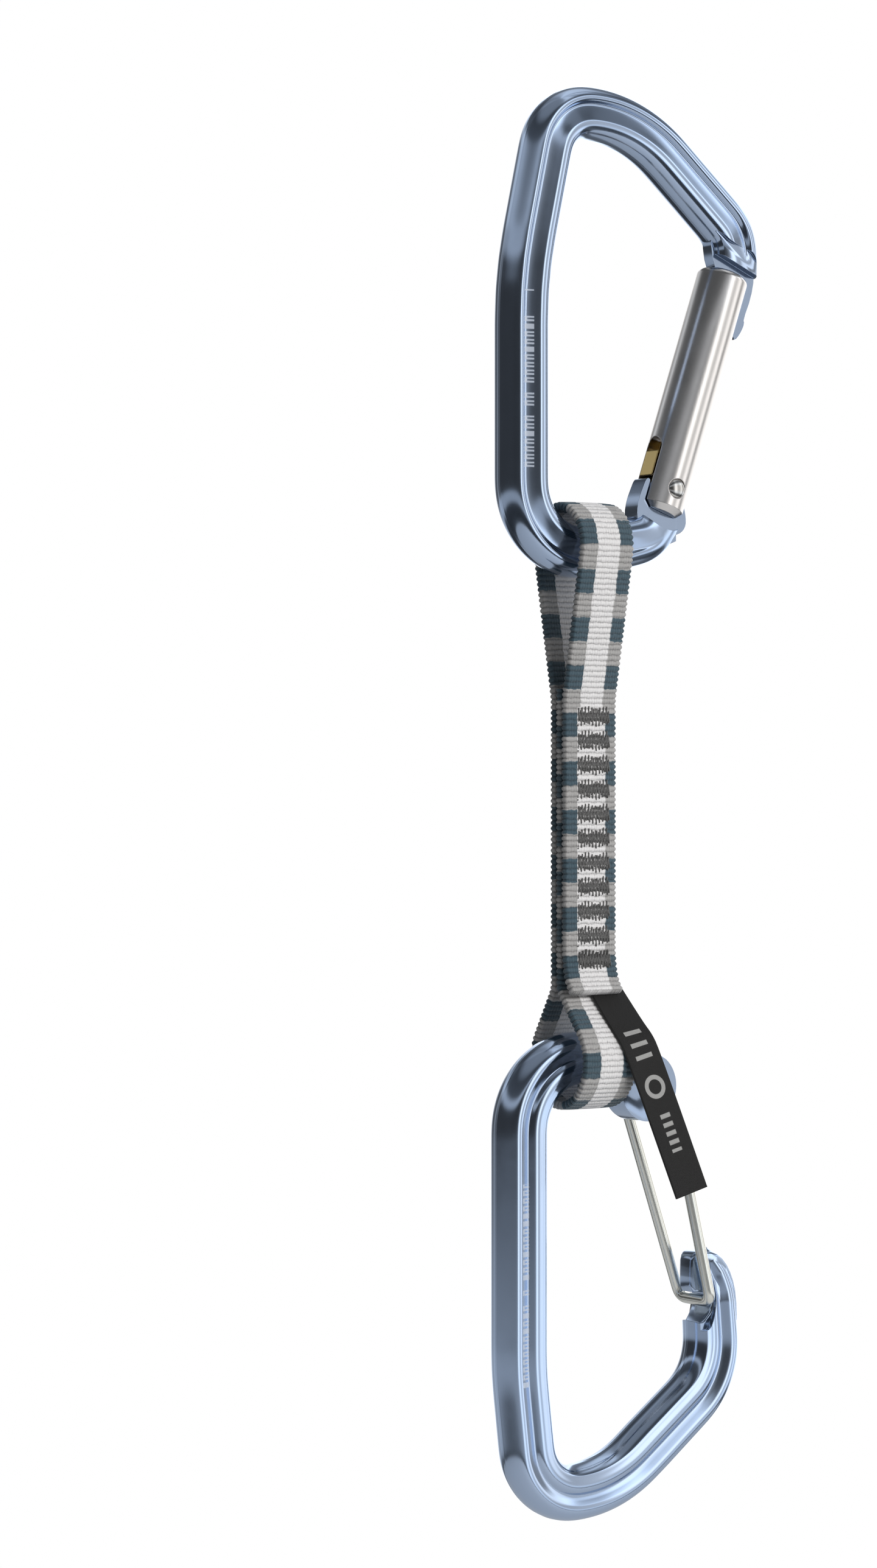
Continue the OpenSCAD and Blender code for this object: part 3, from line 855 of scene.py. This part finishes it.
# ---- Label
def label_mesh():
    """The woven tag, from under the strap's end out past the lower loop."""
    route = softened(
        [(3, -1.36, -166.2), (3.3, -1.45, -167.3), (5, -8.1, -175.86), (5.8, -9.6, -178),
         (6.8, -10.35, -180.6), (10.8, -12.9, -194), (15, -15.7, -208.5)], 2, closed=False
    )
    lean = np.interp(route[:, 2], [-208.5, -194, -180.6, -178, -175.86, -167.3, -166.2],
                     [15, 15, 14, 12, 9, 2, 0])
    both = spaced(np.column_stack([route, lean]), 0.3)
    route, lean = both[:, :3], np.radians(both[:, 3])
    ahead = tangents(route)
    half_w, half_t = 3.9, 0.22
    u = np.linspace(-half_w, half_w, 34)
    run = np.r_[0, np.cumsum(np.linalg.norm(np.diff(route, axis=0), axis=1))]
    rings, uv = [], []
    for p, t, a, s in zip(route, ahead, lean, run, strict=True):
        side = np.array([math.cos(a), 0, math.sin(a)])
        n = unit(np.cross(side, t))
        front = p + np.outer(u, side) + n * half_t
        back = p + np.outer(u[::-1], side) - n * half_t
        rings.append(np.concatenate([front, back]))
        uv.append(np.stack([np.r_[u, u[::-1]], np.full(2 * len(u), s)], -1))
    points, faces = skin(np.array(rings))
    return points, faces, np.concatenate(uv)


points, faces, uv = label_mesh()
label_black, nodes, shader = new_material("label_black")
u, v, _ = nodes.split(nodes.add("UVMap", uv_map="UVMap").outputs[0])
# Plain woven marks: three bars, a ring and a ladder of dashes.
marks = nodes.math("MULTIPLY", nodes.between(u, -2.0, 2.0), nodes.between(v, 13.0, 13.9))
for low in (15.6, 18.2):
    bar = nodes.math("MULTIPLY", nodes.between(u, -2.0, 2.0), nodes.between(v, low, low + 0.9))
    marks = nodes.math("MAXIMUM", marks, bar)
du, dv = u, nodes.math("SUBTRACT", v, 25.0)
squares = nodes.math("ADD", nodes.math("MULTIPLY", du, du), nodes.math("MULTIPLY", dv, dv))
far = nodes.math("SQRT", squares)
marks = nodes.math("MAXIMUM", marks, nodes.between(far, 1.5, 2.4))
dash = nodes.between(nodes.math("FRACT", nodes.math("DIVIDE", v, 1.8)), 0.0, 0.5)
rung = nodes.math("MULTIPLY", dash, nodes.between(u, -1.2, 1.2))
ladder = nodes.math("MULTIPLY", nodes.between(v, 30.0, 38.5), rung)
marks = nodes.math("MAXIMUM", marks, ladder)
weft = nodes.math("SINE", nodes.math("MULTIPLY", v, 2 * math.pi / 0.32))
warp = nodes.math("SINE", nodes.math("MULTIPLY", u, 2 * math.pi / 0.30))
cloth = nodes.math("MULTIPLY", weft, warp)
lit = nodes.math("MULTIPLY_ADD", cloth, 0.25, 0.75)
nodes.put(
    shader.inputs["Base Color"],
    nodes.mix(nodes.math("MULTIPLY", marks, lit), (0.014, 0.013, 0.012), (0.50, 0.49, 0.47)),
)
nodes.put(shader.inputs["Roughness"], 0.65)
bump = nodes.add("Bump", Strength=0.5, Distance=0.05 * MM, Height=cloth)
nodes.put(shader.inputs["Normal"], bump.outputs[0])
tag = add_mesh("woven_tag", points, faces, label_black, uv, sharp=0)
placed(tag, "sling", "label", "sling_label")


# ================= Floor, light and camera =================

VIEW = math.radians(-34)
TO_RIGHT = (math.cos(VIEW), math.sin(VIEW))
TO_BACK = (-math.sin(VIEW), math.cos(VIEW))

floor_r, floor_z, sides = 450, -440, 64
round_floor = np.linspace(0, 2 * math.pi, sides, endpoint=False)
floor = add_mesh(
    "floor",
    [(floor_r * math.cos(a), floor_r * math.sin(a), floor_z) for a in round_floor],
    [list(range(sides))],
    None,
)
floor_paint, nodes, shader = new_material("floor_paint")
nodes.put(shader.inputs["Base Color"], (0.86, 0.86, 0.86))
nodes.put(shader.inputs["Roughness"], 0.9)
floor.data.materials.append(floor_paint)

world = bpy.data.worlds.new("studio")
bpy.context.scene.world = world
world.use_nodes = True
nodes = Nodes(world.node_tree)
x, y, z = nodes.split(nodes.add("TexCoord").outputs["Generated"])
right, ahead = (
    nodes.math("ADD", nodes.math("MULTIPLY", x, to[0]), nodes.math("MULTIPLY", y, to[1]))
    for to in (TO_RIGHT, TO_BACK)
)
turn = nodes.math("ARCTAN2", right, nodes.math("MULTIPLY", ahead, -1.0))
share = nodes.math("MULTIPLY_ADD", turn, 1 / (2 * math.pi), 0.5)


def degrees(a):
    """Place on the ramp of a direction a degrees to the right of the viewer's side."""
    return a / 360 + 0.5


around = nodes.ramp(share, [
    (degrees(-180), 1.4), (degrees(-164), 0.8), (degrees(-148), 0.16), (degrees(-134), 0.08),
    (degrees(-126), 0.42), (degrees(-118), 0.09), (degrees(-104), 0.05), (degrees(-40), 0.05),
    (degrees(-20), 0.045), (degrees(20), 0.05), (degrees(34), 0.10), (degrees(44), 0.35),
    (degrees(51), 1.7), (degrees(60), 1.75), (degrees(65), 0.72), (degrees(77), 0.55),
    (degrees(85), 1.2), (degrees(97), 1.4), (degrees(104), 0.32), (degrees(114), 0.36),
    (degrees(124), 1.2), (degrees(180), 1.4),
])


def level(z):
    """Place on a ramp of a direction whose height is z."""
    return z * 0.5 + 0.5


height = nodes.math("MULTIPLY_ADD", z, 0.5, 0.5)
panels = nodes.ramp(height, [
    (level(-1.0), 0.30), (level(-0.5), 0.10), (level(-0.34), 0.14), (level(-0.27), 1.15),
    (level(0.42), 1.5), (level(0.50), 0.25), (level(0.72), 0.18), (level(0.85), 0.7),
    (level(1.0), 0.8),
])
shown = nodes.ramp(height, [
    (level(-0.15), 1.0), (level(-0.09), 0.0), (level(0.28), 0.0), (level(0.36), 1.0),
])
dimmed = nodes.math("MULTIPLY_ADD", nodes.math("MINIMUM", around, 1.4), 0.62, 0.34)
tinted = nodes.add("VectorMath", operation="MULTIPLY")
nodes.put(tinted.inputs[0], panels)
nodes.put(tinted.inputs[1], (0.95, 1.0, 1.06))
scaled = nodes.add("VectorMath", operation="SCALE")
nodes.put(scaled.inputs[0], tinted.outputs[0])
nodes.put(scaled.inputs["Scale"], dimmed)
light = nodes.mix(shown, around, scaled.outputs[0])
# Seen directly, the studio is one plain pale backdrop.
direct = nodes.add("LightPath").outputs["Is Camera Ray"]
light = nodes.mix(direct, light, (1.0, 1.0, 1.0))
background = nodes.add("Background")
nodes.put(background.inputs["Color"], light)
nodes.put(background.inputs["Strength"], 1.0)
nodes.put(nodes.add("OutputWorld").inputs["Surface"], background.outputs[0])

# A soft lamp for cloth and thread only: the metals have their panels in the world.
lamp = bpy.data.lights.new("cloth_light", "AREA")
lamp.energy, lamp.size = 6.2, 0.5
cloth_light = bpy.data.objects.new("cloth_light", lamp)
cloth_light.location = (0.12, -0.95, 0.25)
aim = Vector((0, 0, -0.13)) - cloth_light.location
cloth_light.rotation_euler = aim.to_track_quat("-Z", "Y").to_euler()
cloth_light.visible_glossy = False
bpy.context.scene.collection.objects.link(cloth_light)

camera = bpy.data.objects.new("camera", bpy.data.cameras.new("camera"))
bpy.context.scene.collection.objects.link(camera)
bpy.context.scene.camera = camera
camera.data.sensor_width = 36
camera.data.lens = 92.57
camera.location = (-0.4712, -0.6472, -0.1278)
camera.rotation_euler = (math.radians(90), 0, VIEW)
bpy.context.scene.view_settings.view_transform = "Standard"
